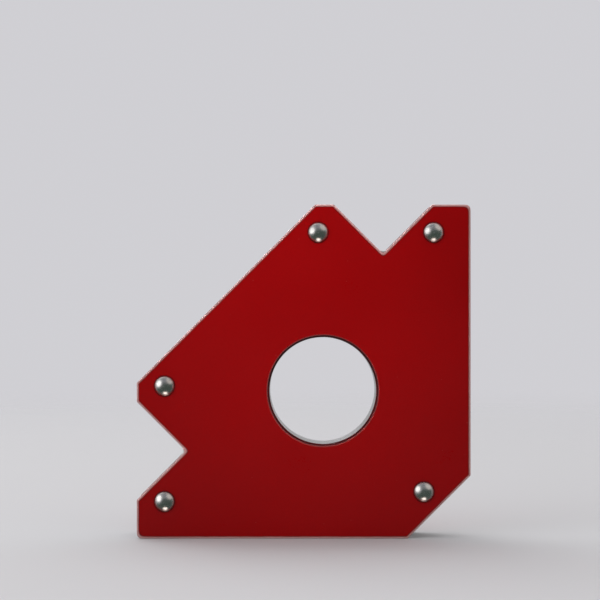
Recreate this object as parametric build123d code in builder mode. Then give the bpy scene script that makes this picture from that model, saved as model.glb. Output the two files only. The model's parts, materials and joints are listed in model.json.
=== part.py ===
from build123d import *
import os

# Magnetic welding holder: two arrow-shaped steel plates riveted over a core of ferrite magnets.
#
# Row frame: X to the right, Y through the thickness (front face towards -Y), +Z up. The holder
# stands on its bottom working edge, and the origin is the centre of its footprint on that edge.
#
# Outline points are given as (u, v): u is the distance in from the right working edge, and v the
# height above the bottom working edge. The outline mirrors onto itself when u and v swap, so one
# half is listed and the other half follows from it.

# Driving dimensions, in millimetres
SIDE = 127.0  # length of the two square working sides
PLATE_THICKNESS = 2.0
CORE_THICKNESS = 12.0  # gap between the plates
CORNER_CUT = 24.0  # leg of the 45 degree cut across the square corner
NOTCH_CENTRE = 33.3  # distance of each notch's centre from its nearest square side
NOTCH_DEPTH = 18.7  # to the sharp apex, so the mouth is twice as wide
NOSE_END = 59.2  # where the flat tip beside each notch meets the long slope

APEX_RADIUS = 2.5  # relief at the bottom of each notch
SQUARE_RADIUS = 2.0  # the two free corners of the square sides
POINT_RADIUS = 0.6  # every other corner of the outline
PLATE_EDGE_RADIUS = 0.5  # ground break on the outside edges of the plates

HOLE_CENTRE = 56.2  # the same distance from both working edges
HOLE_RADIUS = 21.0  # in the plates
HOLE_EDGE_RADIUS = 0.5
SLEEVE_STEP = 0.7  # how far the sleeve's bore stands inside the holes in the plates
SLEEVE_WALL = 2.2
SLEEVE_EDGE_RADIUS = 0.3

RIVET_NOSE = (58.0, 116.4)
RIVET_FOOT = (14.1, 116.4)
RIVET_CORNER = 17.8  # the same distance from both working edges
SHANK_RADIUS = 2.0
RIVET_CLEARANCE = 0.1
HEAD_RADIUS = 3.8
HEAD_HEIGHT = 2.3
HEAD_RIM = 0.25  # straight land under the domed head
SET_RADIUS = 3.7  # the head closed by the rivet set
SET_FLAT = 1.5  # radius of that head's flat top
SET_RIM = 0.4
SET_BULGE = 0.35
SPACER_RADIUS = 3.8

RAIL_INSET = 1.0  # how far the rails stand back from the working edges
RAIL_THICKNESS = 2.5
RAIL_SEAM = 0.4  # between neighbouring rails, which meet in mitres

MAGNET_LENGTH = 36.0
MAGNET_WIDTH = 22.0
MAGNET_CHAMFER = 0.5
MAGNET_INSET = 6.0  # from a square working edge
MAGNET_START = 29.0  # from the other square working edge
MAGNET_GAP = 1.0
SLOPE_MAGNET_INSET = 5.0  # from the long slope

# Worked out from the driving dimensions
HALF_SIDE = SIDE / 2
HALF_CORE = CORE_THICKNESS / 2
HALF_THICKNESS = HALF_CORE + PLATE_THICKNESS
BORE_RADIUS = HOLE_RADIUS - SLEEVE_STEP
SLOPE_SUM = SIDE + NOSE_END  # u + v anywhere on the long slope
RAIL_DEPTH = RAIL_INSET + RAIL_THICKNESS
ROOT_2 = 2**0.5
MITRE_LEAN = ROOT_2 - 1  # tangent of 22.5 degrees: how far the mitre at a 135 degree corner leans over

NOTCH_APEX = (NOTCH_CENTRE, SIDE - NOTCH_DEPTH)
SQUARE_END = (0, SIDE)
UPPER_HALF = [
    (0, CORNER_CUT),
    SQUARE_END,
    (NOTCH_CENTRE - NOTCH_DEPTH, SIDE),
    NOTCH_APEX,
    (NOTCH_CENTRE + NOTCH_DEPTH, SIDE),
    (NOSE_END, SIDE),
]

RIVETS = {
    "top_nose": RIVET_NOSE,
    "left_nose": RIVET_NOSE[::-1],
    "top_foot": RIVET_FOOT,
    "left_foot": RIVET_FOOT[::-1],
    "square_corner": (RIVET_CORNER, RIVET_CORNER),
}


def at(point):
    """The row's X and Z of an outline point (u, v)."""
    u, v = point
    return (HALF_SIDE - u, v)


def mirrored(points):
    """The same points on the other side of the holder's diagonal, in reverse order."""
    return [(v, u) for u, v in reversed(points)]


def both_sides(point):
    """The row's X and Z of a point and of its mirror image."""
    return [at(point), at(point[::-1])]


OUTLINE = [at(point) for point in UPPER_HALF + mirrored(UPPER_HALF)]
APEXES = both_sides(NOTCH_APEX)
SQUARE_CORNERS = both_sides(SQUARE_END)
OTHER_CORNERS = [point for point in OUTLINE if point not in APEXES + SQUARE_CORNERS]


def stands_at(edge, points):
    """Whether an edge that runs along Y stands at one of the given X and Z points."""
    tolerance = 0.01
    middle = edge.center()
    return any(abs(middle.X - x) + abs(middle.Z - z) < tolerance for x, z in points)


def save(part, name):
    """Labels one finished sub-part and writes its file."""
    part.label = name
    export_step(part, f"parts/{name}.step")


def outer_face(plate, side):
    """The plate's flat face on the outside of the holder."""
    outward = Axis((0, 0, 0), (0, side, 0))
    return plate.faces().filter_by(Axis.Y).sort_by(outward)[-1]


def make_plate(name, side):
    """One stamped plate, with its holes. side is -1 for the front plate and 1 for the rear one."""
    inner_plane = Plane.XZ.offset(-side * HALF_CORE)
    outward = -side * PLATE_THICKNESS
    corner_radii = [(APEX_RADIUS, APEXES), (SQUARE_RADIUS, SQUARE_CORNERS), (POINT_RADIUS, OTHER_CORNERS)]
    with BuildPart() as plate:
        with BuildSketch(inner_plane):
            with BuildLine():
                Polyline(*OUTLINE, close=True)
            make_face()
        extrude(amount=outward)
        upright = plate.edges().filter_by(Axis.Y)
        for radius, corners in corner_radii:
            fillet([edge for edge in upright if stands_at(edge, corners)], radius)
        with BuildSketch(inner_plane):
            with Locations(at((HOLE_CENTRE, HOLE_CENTRE))):
                Circle(HOLE_RADIUS)
            with Locations(*[at(centre) for centre in RIVETS.values()]):
                Circle(SHANK_RADIUS + RIVET_CLEARANCE)
        extrude(amount=outward, mode=Mode.SUBTRACT)
        rims = outer_face(plate, side).inner_wires()
        fillet(rims.sort_by(SortBy.LENGTH)[-1].edges(), HOLE_EDGE_RADIUS)
        fillet(outer_face(plate, side).outer_wire().edges(), PLATE_EDGE_RADIUS)
    save(plate.part, name)


def make_rivet(name, centre):
    """One round-head rivet: factory head in front, head closed by the set behind."""
    x, z = at(centre)
    front = -HALF_THICKNESS
    back = HALF_THICKNESS
    dome_height = HEAD_HEIGHT - HEAD_RIM
    dome_radius = (HEAD_RADIUS**2 + dome_height**2) / (2 * dome_height)
    head_top = (0, front - HEAD_HEIGHT)
    head_edge = (HEAD_RADIUS, front - HEAD_RIM)
    set_edge = (SET_RADIUS, back + SET_RIM)
    set_top = (SET_FLAT, back + HEAD_HEIGHT)
    with BuildPart() as rivet:
        with BuildSketch(Plane(origin=(x, 0, z))):
            with BuildLine():
                RadiusArc(head_top, head_edge, -dome_radius)
                Polyline(head_edge, (HEAD_RADIUS, front), (SHANK_RADIUS, front), (SHANK_RADIUS, back))
                Polyline((SHANK_RADIUS, back), (SET_RADIUS, back), set_edge)
                SagittaArc(set_edge, set_top, -SET_BULGE)
                Polyline(set_top, (0, back + HEAD_HEIGHT), head_top)
            make_face()
        revolve(axis=Axis((x, 0, z), (0, 1, 0)))
    save(rivet.part, name)


def make_tube(name, centre, outer_radius, inner_radius, end_round=0):
    """One tube as long as the gap between the plates. end_round rounds the ends of its bore."""
    with BuildPart() as tube:
        with BuildSketch(Plane.XZ.offset(-HALF_CORE)):
            with Locations(at(centre)):
                Circle(outer_radius)
                Circle(inner_radius, mode=Mode.SUBTRACT)
        extrude(amount=CORE_THICKNESS)
        if end_round:
            bore_ends = tube.edges().filter_by(GeomType.CIRCLE).group_by(SortBy.RADIUS)[0]
            fillet(bore_ends, end_round)
    save(tube.part, name)


def make_rail(name, region):
    """One strip of the core's edge: the band just inside the outline, kept where region covers it."""
    with BuildPart() as rail:
        with BuildSketch(Plane.XZ.offset(-HALF_CORE)):
            with BuildLine():
                Polyline(*OUTLINE, close=True)
            make_face()
            offset(amount=-RAIL_INSET, kind=Kind.INTERSECTION, mode=Mode.REPLACE)
            offset(amount=-RAIL_THICKNESS, kind=Kind.INTERSECTION, mode=Mode.SUBTRACT)
            with BuildLine():
                Polyline(*[at(point) for point in region], close=True)
            make_face(mode=Mode.INTERSECT)
        extrude(amount=CORE_THICKNESS)
    save(rail.part, name)


def make_magnet(name, centre, angle):
    """One ferrite block that fills the gap between the plates. angle turns its length up from X."""
    with BuildPart() as magnet:
        with BuildSketch(Plane.XZ.offset(-HALF_CORE)):
            with Locations(Location((*at(centre), 0), (0, 0, angle))):
                Rectangle(MAGNET_LENGTH, MAGNET_WIDTH)
        extrude(amount=CORE_THICKNESS)
        chamfer(magnet.edges(), MAGNET_CHAMFER)
    save(magnet.part, name)


def rail_regions():
    """The (u, v) region that each rail keeps. Neighbours meet in mitres, with a narrow seam between them."""
    deep = 2 * RAIL_DEPTH  # further in than any rail reaches
    lean = MITRE_LEAN * deep

    # From a corner to the cut, measured along the edge
    square_step = RAIL_SEAM / 2 * ROOT_2  # at a square corner
    step = RAIL_SEAM / 2 * (1 + MITRE_LEAN**2) ** 0.5  # at a 135 degree corner
    slant = step / ROOT_2  # that step's share of u or v on a 45 degree edge

    right = [
        (0, CORNER_CUT + step),
        (deep, CORNER_CUT + step + lean),
        (deep, SIDE - square_step - deep),
        (0, SIDE - square_step),
    ]
    half_corner = [(slant, CORNER_CUT - slant), (slant + deep, CORNER_CUT - slant + lean)]
    half_slope = [(NOSE_END + slant, SIDE - slant), (NOSE_END + slant - lean, SIDE - slant - deep)]
    notch_bottom = SIDE - NOTCH_DEPTH - deep
    top_notch = [
        (square_step, SIDE),
        (square_step + RAIL_DEPTH, SIDE - RAIL_DEPTH),
        (NOTCH_CENTRE - NOTCH_DEPTH, notch_bottom),
        (NOSE_END - step - lean, notch_bottom),
        (NOSE_END - step - lean, SIDE - deep),
        (NOSE_END - step, SIDE),
    ]
    return {
        "right_edge_rail": right,
        "bottom_edge_rail": mirrored(right),
        "corner_edge_rail": half_corner + mirrored(half_corner),
        "slope_edge_rail": half_slope + mirrored(half_slope),
        "top_notch_rail": top_notch,
        "left_notch_rail": mirrored(top_notch),
    }


def magnet_places():
    """Each block's centre (u, v) and the angle of its length above X."""
    pitch = MAGNET_LENGTH + MAGNET_GAP
    across = MAGNET_INSET + MAGNET_WIDTH / 2
    first = MAGNET_START + MAGNET_LENGTH / 2
    second = first + pitch
    middle = (SLOPE_SUM - (2 * SLOPE_MAGNET_INSET + MAGNET_WIDTH) / ROOT_2) / 2
    along = pitch / 2 / ROOT_2
    return {
        "magnet_right_lower": ((across, first), 90),
        "magnet_right_upper": ((across, second), 90),
        "magnet_bottom_right": ((first, across), 0),
        "magnet_bottom_left": ((second, across), 0),
        "magnet_slope_upper": ((middle - along, middle + along), 45),
        "magnet_slope_lower": ((middle + along, middle - along), 45),
    }


os.makedirs("parts", exist_ok=True)
make_plate("front_plate", -1)
make_plate("rear_plate", 1)
for place, rivet_centre in RIVETS.items():
    make_rivet(f"rivet_{place}", rivet_centre)
    make_tube(f"spacer_{place}", rivet_centre, SPACER_RADIUS, SHANK_RADIUS + RIVET_CLEARANCE)
hole = (HOLE_CENTRE, HOLE_CENTRE)
make_tube("bore_sleeve", hole, BORE_RADIUS + SLEEVE_WALL, BORE_RADIUS, SLEEVE_EDGE_RADIUS)
for rail_name, rail_region in rail_regions().items():
    make_rail(rail_name, rail_region)
for magnet_name, (magnet_centre, magnet_angle) in magnet_places().items():
    make_magnet(magnet_name, magnet_centre, magnet_angle)
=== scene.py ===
import json
import math

import bpy
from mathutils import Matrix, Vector


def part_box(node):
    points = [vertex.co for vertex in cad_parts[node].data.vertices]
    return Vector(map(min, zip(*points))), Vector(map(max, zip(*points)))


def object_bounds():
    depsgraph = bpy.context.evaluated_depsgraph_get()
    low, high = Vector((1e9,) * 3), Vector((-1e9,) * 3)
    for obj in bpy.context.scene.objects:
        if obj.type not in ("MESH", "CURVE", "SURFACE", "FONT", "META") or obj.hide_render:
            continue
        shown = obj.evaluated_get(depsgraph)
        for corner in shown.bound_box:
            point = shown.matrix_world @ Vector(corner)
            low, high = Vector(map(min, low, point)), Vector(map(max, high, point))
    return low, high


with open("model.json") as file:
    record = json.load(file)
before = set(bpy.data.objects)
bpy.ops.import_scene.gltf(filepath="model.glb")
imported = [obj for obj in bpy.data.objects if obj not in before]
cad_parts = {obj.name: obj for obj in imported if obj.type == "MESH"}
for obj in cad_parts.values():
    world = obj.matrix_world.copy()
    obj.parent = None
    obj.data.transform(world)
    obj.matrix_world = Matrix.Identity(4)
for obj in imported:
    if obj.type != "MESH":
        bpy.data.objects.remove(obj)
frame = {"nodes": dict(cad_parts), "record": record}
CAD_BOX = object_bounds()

# The magnetic welding holder's looks, in metres, in the row frame: X to the right, Y from the front
# face to the rear face, +Z up. Every CAD node stays as it is and gets a procedural material here.

MM = 0.001
MOUNTS = {mount["name"]: mount for mount in frame["record"]["mounts"]}
LOW, HIGH = CAD_BOX
CENTRE = (LOW + HIGH) / 2
HOLE = Vector(MOUNTS["centre_bore"]["pos_m"])
FRONT_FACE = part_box("front_plate")[0].y

# Camera: level, square on to the front face
LENS_MM = 85.0
SENSOR_MM = 36.0
PICTURE_WIDTH = 228.0 * MM  # how much of the front face's plane the picture takes in
HOLE_TO_PICTURE_CENTRE = Vector((-8.7, 0.0, 34.5)) * MM

# Outline: how far each corner's rounding reaches along the blend of its two edges
APEX_ROUND = 2.4 * MM  # at the bottom of each notch
SQUARE_ROUND = 3.5 * MM  # at the two free corners of the square sides
POINT_ROUND = 0.28 * MM  # at every other corner

# Worn line round each plate: ground steel on the side faces, thinned paint where they turn to the face
LINE_WIDTH = 0.82 * MM
LINE_WANDER = 0.20 * MM  # how far a noise from 0 to 1 moves the paint's edge
LINE_NICK = 0.25 * MM  # how much further in a nick goes
LINE_FADE = (-0.42 * MM, 0.15 * MM)  # where full paint begins and is complete, from the line's width
THINNED_FULL = 0.07 * MM  # how far inside the outline thinned paint covers the steel
THINNED_MOST = 0.95  # and how much of it
EDGE_SHADE_WIDTH = 0.55 * MM  # width of the painted shade beside the line, where the paint's rounded edge turns from the light

# Round details
RIVET_HEAD = 3.8 * MM  # radius
CONTACT_SHADE_WIDTH = 0.7 * MM  # width of the painted contact shade on the paint round each head
RIVET_RIM_SHADE_WIDTH = 0.35 * MM  # width of the painted contact shade on each head's rim
HOLE_RADIUS = 21.0 * MM  # in the plates
HOLE_HIGHLIGHT_BAND = (0.20 * MM, 0.60 * MM)  # beyond that radius, where the painted highlight on the hole's rim is full and where it fades out
BORE_WALL_SHADE_BAND = (0.05 * MM, 0.25 * MM)  # the same for the painted shade on the hole's wall
SLEEVE_END = 5.75 * MM  # from the middle of the core to where the sleeve's rounded end, with its painted shade, begins
SLEEVE_END_FADE = 0.2 * MM

PAINT_RED = (0.326, 0.0008, 0.0018, 1)
PAINT_DEEP = (0.293, 0.0006, 0.0015, 1)
# Maroon for the powder's own mottling, and for painted shade on the paint's lip, the hole's wall, round the
# rivets and on the sleeve's end faces
MAROON_MOTTLE_AND_SHADE = (0.085, 0.0015, 0.0030, 1)
# Pale for dust specks, and for the painted highlight on the hole's rim
SPECK_AND_HIGHLIGHT_PALE = (0.50, 0.30, 0.28, 1)
GROUND_STEEL = (0.86, 0.82, 0.80, 1)
GROUND_STEEL_DARK = (0.58, 0.54, 0.52, 1)
THINNED_PAINT = (0.54, 0.270, 0.260, 1)
POLISHED_STEEL = (0.80, 0.79, 0.77, 1)
POLISHED_STEEL_DARK = (0.50, 0.49, 0.47, 1)
# Near black, for the painted contact shade on each rivet head's rim
CONTACT_SHADE_DARK = (0.06, 0.05, 0.045, 1)
ALUMINIUM = (0.79, 0.79, 0.80, 1)
ALUMINIUM_DARK = (0.54, 0.54, 0.55, 1)
ZINC = (0.76, 0.75, 0.75, 1)
ZINC_DARK = (0.52, 0.52, 0.52, 1)
FERRITE = (0.040, 0.040, 0.043, 1)
FERRITE_GREY = (0.095, 0.093, 0.092, 1)
FLOOR_PALE = (0.67, 0.67, 0.69, 1)
FLOOR_PALE_DARK = (0.65, 0.65, 0.67, 1)

# How much of a colour each layer puts over what is under it. The lip, wall and contact layers are painted
# shade, the hole's rim layer a painted highlight.
POWDER_SHADE = 0.10
EDGE_SHADE_AMOUNT = 0.55
HOLE_HIGHLIGHT_AMOUNT = 0.16
BORE_WALL_SHADE_AMOUNT = 0.9
CONTACT_SHADE_AMOUNT = 0.8
SPECK_SHADE = 0.3
TARNISH_SHADE = 0.45
SCRATCH_SHADE = 0.25

# Noise runs from 0 to 1. Each pattern begins and is full at these places in that range.
NOISE_MIDDLE = 0.5
GENTLE = (0.25, 0.75)
CLEAR = (0.30, 0.70)
CRISP = (0.35, 0.65)
STREAKS = (0.28, 0.72)
NICKS = (0.72, 0.80)
TARNISH = (0.45, 0.80)
SCUFFS = (0.58, 0.72)
SCRATCHES = (0.66, 0.74)
SINTERED = (0.35, 0.75)

# Roughness: the range that a pattern spans, or what a mark adds
SATIN_ROUGH = (0.27, 0.33)
GROUND_ROUGH = (0.28, 0.45)
POLISHED_ROUGH = 0.24
FERRITE_ROUGH = (0.45, 0.68)
POWDER_ADDS = 0.04
SPECK_ADDS = 0.3
MARK_ADDS = 0.10  # tarnish, scuffs, scratches and the set marks on the rear heads
SLEEVE_END_ADDS = 0.3

# Drawn and painted surfaces
DRAWN_LENGTH = 40  # how many times longer than wide a drawn line is
BROAD_SHARE = 0.5  # how strong broad patches are beside the drawn lines
FINE_PEEL = 0.35  # how strong the finer orange peel is beside the coarser
RING_SPACING = 0.42 * MM  # of the set marks on the rivets' rear heads

# Dust specks: at most one in each cell. The lengths after the first are shares of the cell's side.
SPECK_CELL = 9 * MM
SPECK_CHANCE = 0.22
SPECK_CORE = 0.008
SPECK_REACH = 0.016
SPECK_REACH_VARIES = 0.022
SPECK_RAGGED = 0.02

# Studio: what the camera sees behind the object, and what the object's surfaces reflect
BACKGROUND = (0.63, 0.625, 0.655, 1)
ROOM_FRONT = (0.060, 0.078, 0.068, 1)
ROOM_FRONT_TOP = (0.23, 0.23, 0.25, 1)
ROOM_TENT = (0.80, 0.79, 0.79, 1)
ROOM_REAR = (0.42, 0.42, 0.43, 1)
ROOM_LOW = (0.16, 0.15, 0.15, 1)

# Where the room turns from one tone to the next, as the Z or Y of the direction looked in
TENT_RISES = (-0.75, 0.15)
FRONT_RISES = (0.10, 0.85)
FRONT_TO_TENT = (-0.25, 0.30)
TENT_TO_REAR = (0.72, 0.92)

# Glows on the room's walls: direction, colour, and the cosines where each begins and is full
ROOM_GLOWS = [
    (Vector((0.05, -0.27, -0.96)), (1.9, 1.62, 1.50, 1), 0.945, 0.985),
    (Vector((0.66, -0.32, 0.68)), (0.56, 0.52, 0.49, 1), 0.82, 0.97),
    (Vector((-0.85, -0.42, 0.32)), (0.46, 0.46, 0.48, 1), 0.70, 0.95),
]
FLOOR_HALF = 6.0
FLOOR_FADE = (0.25, 0.95)  # from the origin, where the floor begins to clear and is gone
TOP_OF_PLATE = CENTRE + Vector((-8.0, 0.0, 38.0)) * MM  # where the smallest light is aimed


class Graph:
    """A node tree, with short calls for the nodes that the materials need."""

    def __init__(self, tree):
        self.tree = tree

    def node(self, kind, inputs, **settings):
        """Adds a node. An input is given by its name or place, as a value or as another node's socket."""
        made = self.tree.nodes.new("ShaderNode" + kind)
        for key, value in settings.items():
            setattr(made, key, value)
        for key, value in inputs.items():
            if isinstance(value, bpy.types.NodeSocket):
                self.tree.links.new(value, made.inputs[key])
            else:
                made.inputs[key].default_value = value
        return made

    def math(self, operation, a, b=0.0, c=0.0):
        return self.node("Math", {0: a, 1: b, 2: c}, operation=operation).outputs[0]

    def times(self, a, b):
        return self.math("MULTIPLY", a, b)

    def without(self, part):
        """What is left of 1."""
        return self.math("SUBTRACT", 1.0, part)

    def raised(self, base, value, amount):
        """The base, plus the value times the amount."""
        return self.math("MULTIPLY_ADD", value, amount, base)

    def vector(self, operation, a, b):
        return self.node("VectorMath", {0: a, 1: b}, operation=operation)

    def axes(self, where):
        """The sockets X, Y and Z of a vector."""
        return self.node("SeparateXYZ", {0: where}).outputs

    def ramp(self, value, low, high, at_low=0.0, at_high=1.0):
        """Turns low..high into at_low..at_high, smoothly and without overshoot."""
        inputs = {"Value": value, "From Min": low, "From Max": high, "To Min": at_low, "To Max": at_high}
        return self.node("MapRange", inputs, interpolation_type="SMOOTHSTEP").outputs[0]

    def mix(self, factor, a, b):
        """Colour a where factor is 0, colour b where it is 1."""
        return self.node("Mix", {0: factor, 6: a, 7: b}, data_type="RGBA").outputs[2]

    def noise(self, where, size, detail=2.0):
        """Noise between 0 and 1 whose lumps are about size metres across."""
        inputs = {"Vector": where, "Scale": 1 / size, "Detail": detail}
        return self.node("TexNoise", inputs).outputs["Fac"]

    def stretched(self, where, lengths):
        """Noise whose lumps have their own length along X, Y and Z, in metres."""
        squeezed = self.vector("MULTIPLY", where, [1 / length for length in lengths]).outputs[0]
        return self.node("TexNoise", {"Vector": squeezed, "Scale": 1.0, "Detail": 3.0}).outputs["Fac"]

    def position(self, shift=(0.0, 0.0, 0.0)):
        """The point being shaded, in the row frame, moved by shift so that patterns differ."""
        here = self.node("TexCoord", {}).outputs["Object"]
        return self.vector("ADD", here, shift).outputs[0]

    def bump(self, height, depth, below=None):
        """A normal from a height between 0 and 1, depth metres deep, on top of another bump."""
        inputs = {"Height": height, "Distance": depth, "Strength": 1.0}
        if below is not None:
            inputs["Normal"] = below
        return self.node("Bump", inputs).outputs[0]


def new_material(name, **constants):
    """An empty material with one Principled shader, whose constants are set straight on its sockets."""
    material = bpy.data.materials.new(name)
    material.use_nodes = True
    shader = material.node_tree.nodes["Principled BSDF"]
    for key, value in constants.items():
        shader.inputs[key.replace("_", " ")].default_value = value
    return material, Graph(material.node_tree), shader


def connect(graph, shader, **links):
    """Links sockets to the shader's inputs, named with underscores for spaces."""
    for key, socket in links.items():
        graph.tree.links.new(socket, shader.inputs[key.replace("_", " ")])


def plane_distance(graph, where, point, outward):
    """How far inside a plane the shaded point lies, from a point on the plane and its outward normal."""
    inward = [-value for value in outward]
    along = graph.vector("DOT_PRODUCT", where, inward).outputs["Value"]
    return graph.math("ADD", along, Vector(point).dot(Vector(outward)))


def outline_distance(graph, where):
    """How far inside the holder's outline the shaded point lies, from the record's working edges."""

    def inside(name):
        return plane_distance(graph, where, MOUNTS[name]["pos_m"], MOUNTS[name]["axis"])

    top = plane_distance(graph, where, HIGH, (0, 0, 1))
    left = plane_distance(graph, where, LOW, (-1, 0, 0))
    nearest = graph.math("SMOOTH_MIN", inside("base_edge"), left, SQUARE_ROUND)
    others = [graph.math("SMOOTH_MIN", inside("side_edge"), top, SQUARE_ROUND)]
    others += [inside("slope_edge"), inside("corner_edge")]
    for notch in (
        ("top_notch_left_flank", "top_notch_right_flank"),
        ("left_notch_upper_flank", "left_notch_lower_flank"),
    ):
        flanks = [inside(name) for name in notch]
        others.append(graph.math("SMOOTH_MAX", flanks[0], flanks[1], APEX_ROUND))
    for distance in others:
        nearest = graph.math("SMOOTH_MIN", nearest, distance, POINT_ROUND)
    return nearest


def axis_of(node):
    """The centre line of a round node, as X and Z."""
    low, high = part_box(node)
    middle = (low + high) / 2
    return middle.x, middle.z


def radius_from(graph, where, x, z):
    """Distance of the shaded point from the line along Y through X and Z."""
    beside = graph.vector("MULTIPLY", where, (1, 0, 1)).outputs[0]
    return graph.vector("DISTANCE", beside, (x, 0, z)).outputs["Value"]


def nearest_rivet(graph, where):
    """Distance of the shaded point from the nearest rivet's centre line."""
    nearest = None
    for node in frame["nodes"]:
        if node.startswith("rivet_"):
            away = radius_from(graph, where, *axis_of(node))
            nearest = away if nearest is None else graph.math("MINIMUM", nearest, away)
    return nearest


def dust_specks(graph, where):
    """A few pale specks of uneven size and outline, up to half a millimetre across."""
    axes = graph.axes(where)
    flat = graph.node("CombineXYZ", {0: axes["X"], 1: axes["Z"]}).outputs[0]
    cells = graph.node("TexVoronoi", {"Vector": flat, "Scale": 1 / SPECK_CELL}, voronoi_dimensions="2D")
    draws = graph.node("SeparateColor", {0: cells.outputs["Color"]}).outputs
    ragged = graph.raised(cells.outputs["Distance"], graph.noise(flat, 0.25 * MM), SPECK_RAGGED)
    reach = graph.raised(SPECK_REACH, draws[1], SPECK_REACH_VARIES)
    dot = graph.ramp(ragged, SPECK_CORE, reach, 1.0, 0.0)
    chosen = graph.math("GREATER_THAN", draws[0], 1 - SPECK_CHANCE)
    return graph.times(dot, chosen)


def worn_line(graph, here, moved):
    """Shares of bare steel, of thinned paint over it, and of painted shade along the paint's rounded lip, at
    the plate's edge.
    """
    distance = outline_distance(graph, here)
    wander = graph.math("SUBTRACT", graph.noise(moved, 3.5 * MM, detail=4.0), NOISE_MIDDLE)
    nicks = graph.ramp(graph.noise(moved, 2.2 * MM), *NICKS)
    width = graph.raised(LINE_WIDTH, wander, LINE_WANDER)
    width = graph.raised(width, nicks, LINE_NICK)
    beyond = graph.math("SUBTRACT", distance, width)
    bare = graph.ramp(beyond, *LINE_FADE, 1.0, 0.0)
    thinned = graph.ramp(distance, 0.0, THINNED_FULL, 0.0, THINNED_MOST)
    lip = graph.ramp(beyond, 0.0, EDGE_SHADE_WIDTH, 1.0, 0.0)
    return bare, thinned, lip


def marked_red(graph, here, moved, powder, lip, dust):
    """The paint's red: slow tone changes, powder mottling, painted shade on the lip and on the hole's wall,
    a painted highlight on the hole's rim, painted contact shade round each rivet, dust.
    """
    tone = graph.ramp(graph.noise(moved, 60 * MM, detail=1.0), *GENTLE)
    from_hole = graph.math("SUBTRACT", radius_from(graph, here, HOLE.x, HOLE.z), HOLE_RADIUS)
    from_head = graph.math("SUBTRACT", nearest_rivet(graph, here), RIVET_HEAD)
    # Layers: powder mottling; painted shade on the lip; a painted highlight on the hole's rim; painted shade
    # on the hole's wall; painted contact shade round each rivet; dust specks
    layers = [
        (graph.times(powder, POWDER_SHADE), MAROON_MOTTLE_AND_SHADE),
        (graph.times(lip, EDGE_SHADE_AMOUNT), MAROON_MOTTLE_AND_SHADE),
        (graph.ramp(from_hole, *HOLE_HIGHLIGHT_BAND, HOLE_HIGHLIGHT_AMOUNT, 0.0), SPECK_AND_HIGHLIGHT_PALE),
        (graph.ramp(from_hole, *BORE_WALL_SHADE_BAND, BORE_WALL_SHADE_AMOUNT, 0.0), MAROON_MOTTLE_AND_SHADE),
        (graph.ramp(from_head, 0.0, CONTACT_SHADE_WIDTH, CONTACT_SHADE_AMOUNT, 0.0), MAROON_MOTTLE_AND_SHADE),
        (graph.times(dust, SPECK_SHADE), SPECK_AND_HIGHLIGHT_PALE),
    ]
    red = graph.mix(tone, PAINT_DEEP, PAINT_RED)
    for amount, colour in layers:
        red = graph.mix(amount, red, colour)
    return red


def paint(name, shift):
    """Deep red satin powder coat, worn to a thin pale line round the plate's edge."""
    material, graph, shader = new_material(name, Specular_IOR_Level=0.18)
    here = graph.position()
    moved = graph.position(shift)
    # lip is the share of painted shade along the paint's rounded edge beside the worn line
    bare, thinned, lip = worn_line(graph, here, moved)
    powder = graph.ramp(graph.noise(moved, 0.6 * MM, detail=3.0), *CLEAR)
    dust = dust_specks(graph, moved)
    grain = graph.stretched(moved, (9 * MM, 0.09 * MM, 9 * MM))

    red = marked_red(graph, here, moved, powder, lip, dust)
    steel = graph.mix(graph.ramp(grain, *CRISP), GROUND_STEEL_DARK, GROUND_STEEL)
    colour = graph.mix(bare, red, graph.mix(thinned, steel, THINNED_PAINT))
    metal = graph.times(bare, graph.without(thinned))

    # Gloss: satin, a little uneven from handling and from the powder's grain
    smears = graph.noise(moved, 22 * MM)
    paint_rough = graph.ramp(smears, *GENTLE, *SATIN_ROUGH)
    paint_rough = graph.raised(paint_rough, powder, POWDER_ADDS)
    paint_rough = graph.raised(paint_rough, dust, SPECK_ADDS)
    steel_rough = graph.ramp(grain, *CLEAR, *GROUND_ROUGH)
    rough_step = graph.math("SUBTRACT", steel_rough, paint_rough)
    roughness = graph.raised(paint_rough, rough_step, bare)

    # Surface: orange peel under the paint, grinding lines on the steel, and the paint film's own step
    peel = graph.raised(graph.noise(moved, 1.9 * MM), graph.noise(moved, 0.8 * MM), FINE_PEEL)
    painted = graph.without(bare)
    normal = graph.bump(graph.times(peel, painted), depth=0.022 * MM)
    normal = graph.bump(graph.times(grain, bare), depth=0.006 * MM, below=normal)
    normal = graph.bump(painted, depth=0.02 * MM, below=normal)
    connect(graph, shader, Base_Color=colour, Roughness=roughness, Metallic=metal, Normal=normal)
    return material


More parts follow.
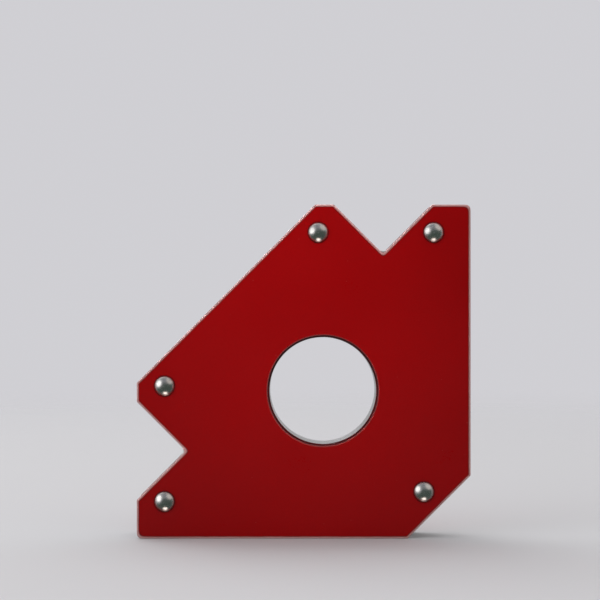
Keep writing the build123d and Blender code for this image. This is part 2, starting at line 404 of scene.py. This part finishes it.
def rivet_steel(name, node):
    """Polished plated steel, with painted contact shade on the rim where the head meets the plate, and
    turned rings from the set on the rear head.
    """
    material, graph, shader = new_material(name, Metallic=1.0)
    x, z = axis_of(node)
    here = graph.position()
    moved = graph.position((x * 3, 0.0, z * 5))  # far apart, so that no two rivets look the same
    out = radius_from(graph, here, x, z)
    rear = graph.math("GREATER_THAN", graph.axes(here)["Y"], 0.0)

    tarnish = graph.ramp(graph.noise(moved, 2.4 * MM, detail=4.0), *TARNISH)
    colour = graph.mix(graph.times(tarnish, TARNISH_SHADE), POLISHED_STEEL, POLISHED_STEEL_DARK)
    # Painted contact shade: the head's outer rim darkens where it meets the plate
    rim = graph.ramp(out, RIVET_HEAD - RIVET_RIM_SHADE_WIDTH, RIVET_HEAD, 0.0, CONTACT_SHADE_AMOUNT)
    colour = graph.mix(rim, colour, CONTACT_SHADE_DARK)

    scuffs = graph.ramp(graph.stretched(moved, (1.6 * MM, 0.5 * MM, 0.12 * MM)), *SCUFFS)
    roughness = POLISHED_ROUGH
    for mark in (tarnish, scuffs, rear):
        roughness = graph.raised(roughness, mark, MARK_ADDS)

    # Rings on the rear head, whose sine from -1 to 1 becomes a height from 0 to 1
    rings = graph.math("SINE", graph.times(out, 2 * math.pi / RING_SPACING))
    rings = graph.times(graph.raised(0.5, rings, 0.5), rear)
    normal = graph.bump(graph.noise(moved, 1.3 * MM, detail=3.0), depth=0.012 * MM)
    normal = graph.bump(rings, depth=0.007 * MM, below=normal)
    connect(graph, shader, Base_Color=colour, Roughness=roughness, Normal=normal)
    return material


def drawn_metal(name, light, dark, line, rough, with_painted_end_shade=False):
    """Bare metal with fine lines at right angles to Y, so that they run along a strip and round a tube."""
    material, graph, shader = new_material(name, Metallic=1.0)
    here = graph.position()
    length = DRAWN_LENGTH * line
    lines = graph.stretched(here, (length, line, length))
    broad = graph.math("SUBTRACT", graph.noise(here, 14 * MM, detail=3.0), NOISE_MIDDLE)
    tone = graph.raised(lines, broad, BROAD_SHARE)
    colour = graph.mix(graph.ramp(tone, *STREAKS), dark, light)
    scratches = graph.ramp(graph.stretched(here, (1.1 * MM, 9 * MM, 1.1 * MM)), *SCRATCHES)
    colour = graph.mix(graph.times(scratches, SCRATCH_SHADE), colour, dark)
    roughness = graph.ramp(lines, *GENTLE, *rough)
    roughness = graph.raised(roughness, scratches, MARK_ADDS)
    # Painted shade: the sleeve's end faces, in the step behind the plates' holes, are dark maroon and not
    # metallic
    if with_painted_end_shade:
        depth = graph.math("ABSOLUTE", graph.axes(here)["Y"])
        ends = graph.ramp(depth, SLEEVE_END, SLEEVE_END + SLEEVE_END_FADE)
        colour = graph.mix(ends, colour, MAROON_MOTTLE_AND_SHADE)
        roughness = graph.raised(roughness, ends, SLEEVE_END_ADDS)
        connect(graph, shader, Metallic=graph.without(ends))
    normal = graph.bump(lines, depth=0.008 * MM)
    normal = graph.bump(scratches, depth=0.006 * MM, below=normal)
    connect(graph, shader, Base_Color=colour, Roughness=roughness, Normal=normal)
    return material


def ferrite(name):
    """Sintered ceramic magnet: charcoal, fine-grained, with ground faces."""
    material, graph, shader = new_material(name, Specular_IOR_Level=0.5)
    here = graph.position()
    grain = graph.noise(here, 0.35 * MM, detail=5.0)
    lines = graph.stretched(here, (7 * MM, 0.3 * MM, 0.3 * MM))
    colour = graph.mix(graph.ramp(grain, *SINTERED), FERRITE, FERRITE_GREY)
    roughness = graph.ramp(lines, *CLEAR, *FERRITE_ROUGH)
    normal = graph.bump(grain, depth=0.02 * MM)
    normal = graph.bump(lines, depth=0.012 * MM, below=normal)
    connect(graph, shader, Base_Color=colour, Roughness=roughness, Normal=normal)
    return material


def dress_nodes():
    """Gives every CAD node its material."""
    shared = {
        # The sleeve's end faces get painted shade
        "bore_sleeve": drawn_metal(
            "sleeve_turned", ZINC, ZINC_DARK, line=0.11 * MM, rough=(0.26, 0.42), with_painted_end_shade=True
        ),
        "rail": drawn_metal("rail_aluminium", ALUMINIUM, ALUMINIUM_DARK, line=0.16 * MM, rough=(0.28, 0.42)),
        "spacer": drawn_metal("spacer_zinc", ZINC, ZINC_DARK, line=0.09 * MM, rough=(0.30, 0.45)),
        "magnet": ferrite("ferrite_block"),
        "front_plate": paint("red_paint_front", shift=(0.0, 0.0, 0.0)),
        "rear_plate": paint("red_paint_rear", shift=(0.31, 0.0, 0.17)),
    }
    for node, piece in frame["nodes"].items():
        kinds = [kind for kind in shared if kind in node]
        material = shared[kinds[0]] if kinds else rivet_steel(node + "_steel", node)
        for slot in piece.material_slots:
            slot.material = material


def floor_material():
    """Pale matt floor that fades into the studio's pale background within a metre."""
    material, graph, shader = new_material("pale_floor", Roughness=0.9, Specular_IOR_Level=0.2)
    here = graph.position()
    tone = graph.noise(here, 0.35, detail=3.0)
    connect(graph, shader, Base_Color=graph.mix(tone, FLOOR_PALE_DARK, FLOOR_PALE))
    out = graph.vector("DISTANCE", here, (0, 0, 0)).outputs["Value"]
    clear = graph.node("BsdfTransparent", {}).outputs[0]
    fade = graph.ramp(out, *FLOOR_FADE)
    faded = graph.node("MixShader", {0: fade, 1: shader.outputs[0], 2: clear})
    graph.tree.links.new(faded.outputs[0], graph.tree.nodes["Material Output"].inputs["Surface"])
    return material


def make_floor():
    mesh = bpy.data.meshes.new("floor")
    corners = [(x, y, 0) for x, y in ((-1, -1), (1, -1), (1, 1), (-1, 1))]
    mesh.from_pydata([Vector(corner) * FLOOR_HALF for corner in corners], [], [(0, 1, 2, 3)])
    mesh.materials.append(floor_material())
    floor = bpy.data.objects.new("floor", mesh)
    floor.location.z = LOW.z
    floor.visible_glossy = False
    bpy.context.scene.collection.objects.link(floor)


def make_world():
    """Pale where the camera looks. Surfaces reflect a room, dark in front and pale round the sides."""
    world = bpy.data.worlds.new("studio")
    bpy.context.scene.world = world
    world.use_nodes = True
    graph = Graph(world.node_tree)
    direction = graph.node("TexCoord", {}).outputs["Generated"]
    axes = graph.axes(direction)
    tent = graph.mix(graph.ramp(axes["Z"], *TENT_RISES), ROOM_LOW, ROOM_TENT)
    front = graph.mix(graph.ramp(axes["Z"], *FRONT_RISES), ROOM_FRONT, ROOM_FRONT_TOP)
    room = graph.mix(graph.ramp(axes["Y"], *FRONT_TO_TENT), front, tent)
    room = graph.mix(graph.ramp(axes["Y"], *TENT_TO_REAR), room, ROOM_REAR)
    for glow_from, colour, begins, full in ROOM_GLOWS:
        towards = graph.vector("DOT_PRODUCT", direction, glow_from).outputs["Value"]
        room = graph.mix(graph.ramp(towards, begins, full), room, colour)
    seen = graph.node("LightPath", {}).outputs["Is Camera Ray"]
    background = world.node_tree.nodes["Background"]
    graph.tree.links.new(graph.mix(seen, room, BACKGROUND), background.inputs["Color"])


def soft_light(name, offset, size, power, in_gloss=True, aim=CENTRE, **settings):
    """A softbox at an offset from the object's centre, which the camera doesn't see.

    Surfaces mirror it if in_gloss is set, and the settings go to its lamp.
    """
    data = bpy.data.lights.new(name, "AREA")
    data.shape = "DISK"
    data.size = size
    data.energy = power
    for key, value in settings.items():
        setattr(data, key, value)
    light = bpy.data.objects.new(name, data)
    light.location = CENTRE + Vector(offset)
    light.rotation_euler = (aim - light.location).to_track_quat("-Z", "Y").to_euler()
    light.visible_camera = False
    light.visible_glossy = in_gloss
    bpy.context.scene.collection.objects.link(light)
    return light


def make_lights():
    """Two softboxes, a wide overhead light, and a small one that lights only the object, most at its top."""
    soft_light("key_left", (-0.80, -0.40, 0.30), size=0.85, power=1.7, color=(1.0, 0.985, 0.96))
    soft_light("rear_key", (-0.38, 0.52, 0.90), size=0.90, power=2.0)
    soft_light("overhead", (0.0, 0.0, 3.0), size=5.0, power=44.0, in_gloss=False, shape="SQUARE")
    pool = soft_light(
        "top_soft",
        (-0.03, -0.36, 0.41),
        size=0.15,
        power=0.043,
        in_gloss=False,
        aim=TOP_OF_PLATE,
        spread=math.radians(19.5),
    )
    lit = bpy.data.collections.new("lit_by_top_soft")
    for piece in frame["nodes"].values():
        lit.objects.link(piece)
    pool.light_linking.receiver_collection = lit


def make_camera():
    data = bpy.data.cameras.new("camera")
    data.lens = LENS_MM
    data.sensor_width = SENSOR_MM
    camera = bpy.data.objects.new("camera", data)
    away = PICTURE_WIDTH * LENS_MM / SENSOR_MM
    aim = HOLE + HOLE_TO_PICTURE_CENTRE
    camera.location = (aim.x, FRONT_FACE - away, aim.z)
    camera.rotation_euler = (math.pi / 2, 0, 0)
    bpy.context.scene.collection.objects.link(camera)
    bpy.context.scene.camera = camera


dress_nodes()
make_floor()
make_world()
make_lights()
make_camera()
bpy.context.scene.view_settings.view_transform = "Standard"
